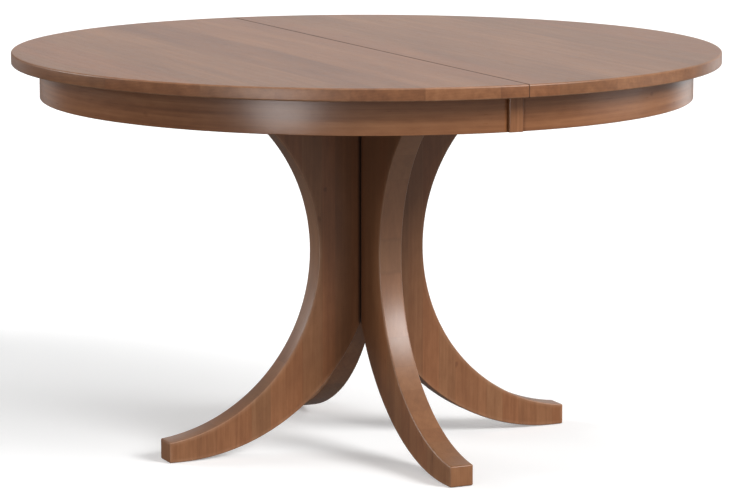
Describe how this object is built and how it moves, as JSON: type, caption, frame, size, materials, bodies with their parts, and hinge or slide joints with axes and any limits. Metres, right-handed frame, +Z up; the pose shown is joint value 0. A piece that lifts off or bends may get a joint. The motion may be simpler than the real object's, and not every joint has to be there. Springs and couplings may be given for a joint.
{
  "type": "round pedestal table",
  "caption": "Round wooden dining table on a pedestal of curved boards, with an apron, and a top that splits in the middle on geared slides.",
  "frame": {"origin": "on the floor, under the middle of the top", "axes": "+Z up; the split in the top runs along Y, and the halves of the top draw apart along X; the picture's camera looks from -X and -Y"},
  "size_m": [1.3716, 1.3716, 0.781],
  "materials": {
    "stained_wood": "medium brown stain under a satin clear coat, straight grain with darker streaks",
    "plain_maple": "unstained hard maple, lightly sealed",
    "zinc_steel": "bright zinc plate",
    "black_nylon": "moulded, matt"
  },
  "bodies": {
    "pedestal": {"leg_front": "stained_wood", "leg_right": "stained_wood", "leg_back": "stained_wood", "leg_left": "stained_wood", "pedestal_plate": "plain_maple", "centre_rail_front": "plain_maple", "centre_rail_back": "plain_maple", "foot_glide_front": "black_nylon", "foot_glide_right": "black_nylon", "foot_glide_back": "black_nylon", "foot_glide_left": "black_nylon", "lag_screw_front": "zinc_steel", "lag_screw_right": "zinc_steel", "lag_screw_back": "zinc_steel", "lag_screw_left": "zinc_steel", "rail_screw_front_left": "zinc_steel", "rail_screw_front_right": "zinc_steel", "rail_screw_back_left": "zinc_steel", "rail_screw_back_right": "zinc_steel", "pinion_axle_front": "zinc_steel", "pinion_axle_back": "zinc_steel"},
    "left_half": {"top_half_left": "stained_wood", "apron_left": "stained_wood", "apron_block_front": "stained_wood", "glue_block_left_1": "plain_maple", "glue_block_left_2": "plain_maple", "glue_block_left_3": "plain_maple", "slide_rail_left_front": "plain_maple", "slide_rail_left_back": "plain_maple", "rack_left_front": "zinc_steel", "rack_left_back": "zinc_steel", "alignment_pin_1": "plain_maple", "alignment_pin_2": "plain_maple", "alignment_pin_3": "plain_maple", "alignment_pin_4": "plain_maple", "lock_plate_front": "zinc_steel", "lock_pivot_front": "zinc_steel", "lock_keeper_back": "zinc_steel"},
    "right_half": {"top_half_right": "stained_wood", "apron_right": "stained_wood", "apron_block_back": "stained_wood", "glue_block_right_1": "plain_maple", "glue_block_right_2": "plain_maple", "glue_block_right_3": "plain_maple", "slide_rail_right_front": "plain_maple", "slide_rail_right_back": "plain_maple", "rack_right_front": "zinc_steel", "rack_right_back": "zinc_steel", "lock_plate_back": "zinc_steel", "lock_pivot_back": "zinc_steel", "lock_keeper_front": "zinc_steel"},
    "pinion_front": {"pinion_front": "black_nylon"},
    "pinion_back": {"pinion_back": "black_nylon"},
    "lock_lever_front": {"lock_lever_front": "zinc_steel"},
    "lock_lever_back": {"lock_lever_back": "zinc_steel"}
  },
  "joints": [
    {"name": "left_slide", "type": "slide", "parent": "pedestal", "child": "left_half", "axis": [-1, 0, 0], "range_m": [0, 0.33]},
    {"name": "right_slide", "type": "slide", "parent": "pedestal", "child": "right_half", "axis": [1, 0, 0], "range_m": [0, 0.33]},
    {"name": "pinion_front_spin", "type": "hinge", "parent": "pedestal", "child": "pinion_front", "pos_m": [0, -0.2, 0.7417], "axis": [0, 0, 1], "range_deg": [-1051, 0]},
    {"name": "pinion_back_spin", "type": "hinge", "parent": "pedestal", "child": "pinion_back", "pos_m": [0, 0.2, 0.7417], "axis": [0, 0, 1], "range_deg": [-1051, 0]},
    {"name": "lock_front_swing", "type": "hinge", "parent": "left_half", "child": "lock_lever_front", "pos_m": [-0.03, -0.4, 0.7526], "axis": [0, 0, 1], "range_deg": [0, 75]},
    {"name": "lock_back_swing", "type": "hinge", "parent": "right_half", "child": "lock_lever_back", "pos_m": [0.03, 0.4, 0.7526], "axis": [0, 0, 1], "range_deg": [0, 75]}
  ],
  "couplings": [
    {"joint": "right_slide", "follows": "left_slide", "ratio": 1},
    {"joint": "pinion_front_spin", "follows": "left_slide", "rad_per_m": -55.556},
    {"joint": "pinion_back_spin", "follows": "left_slide", "rad_per_m": -55.556}
  ]
}
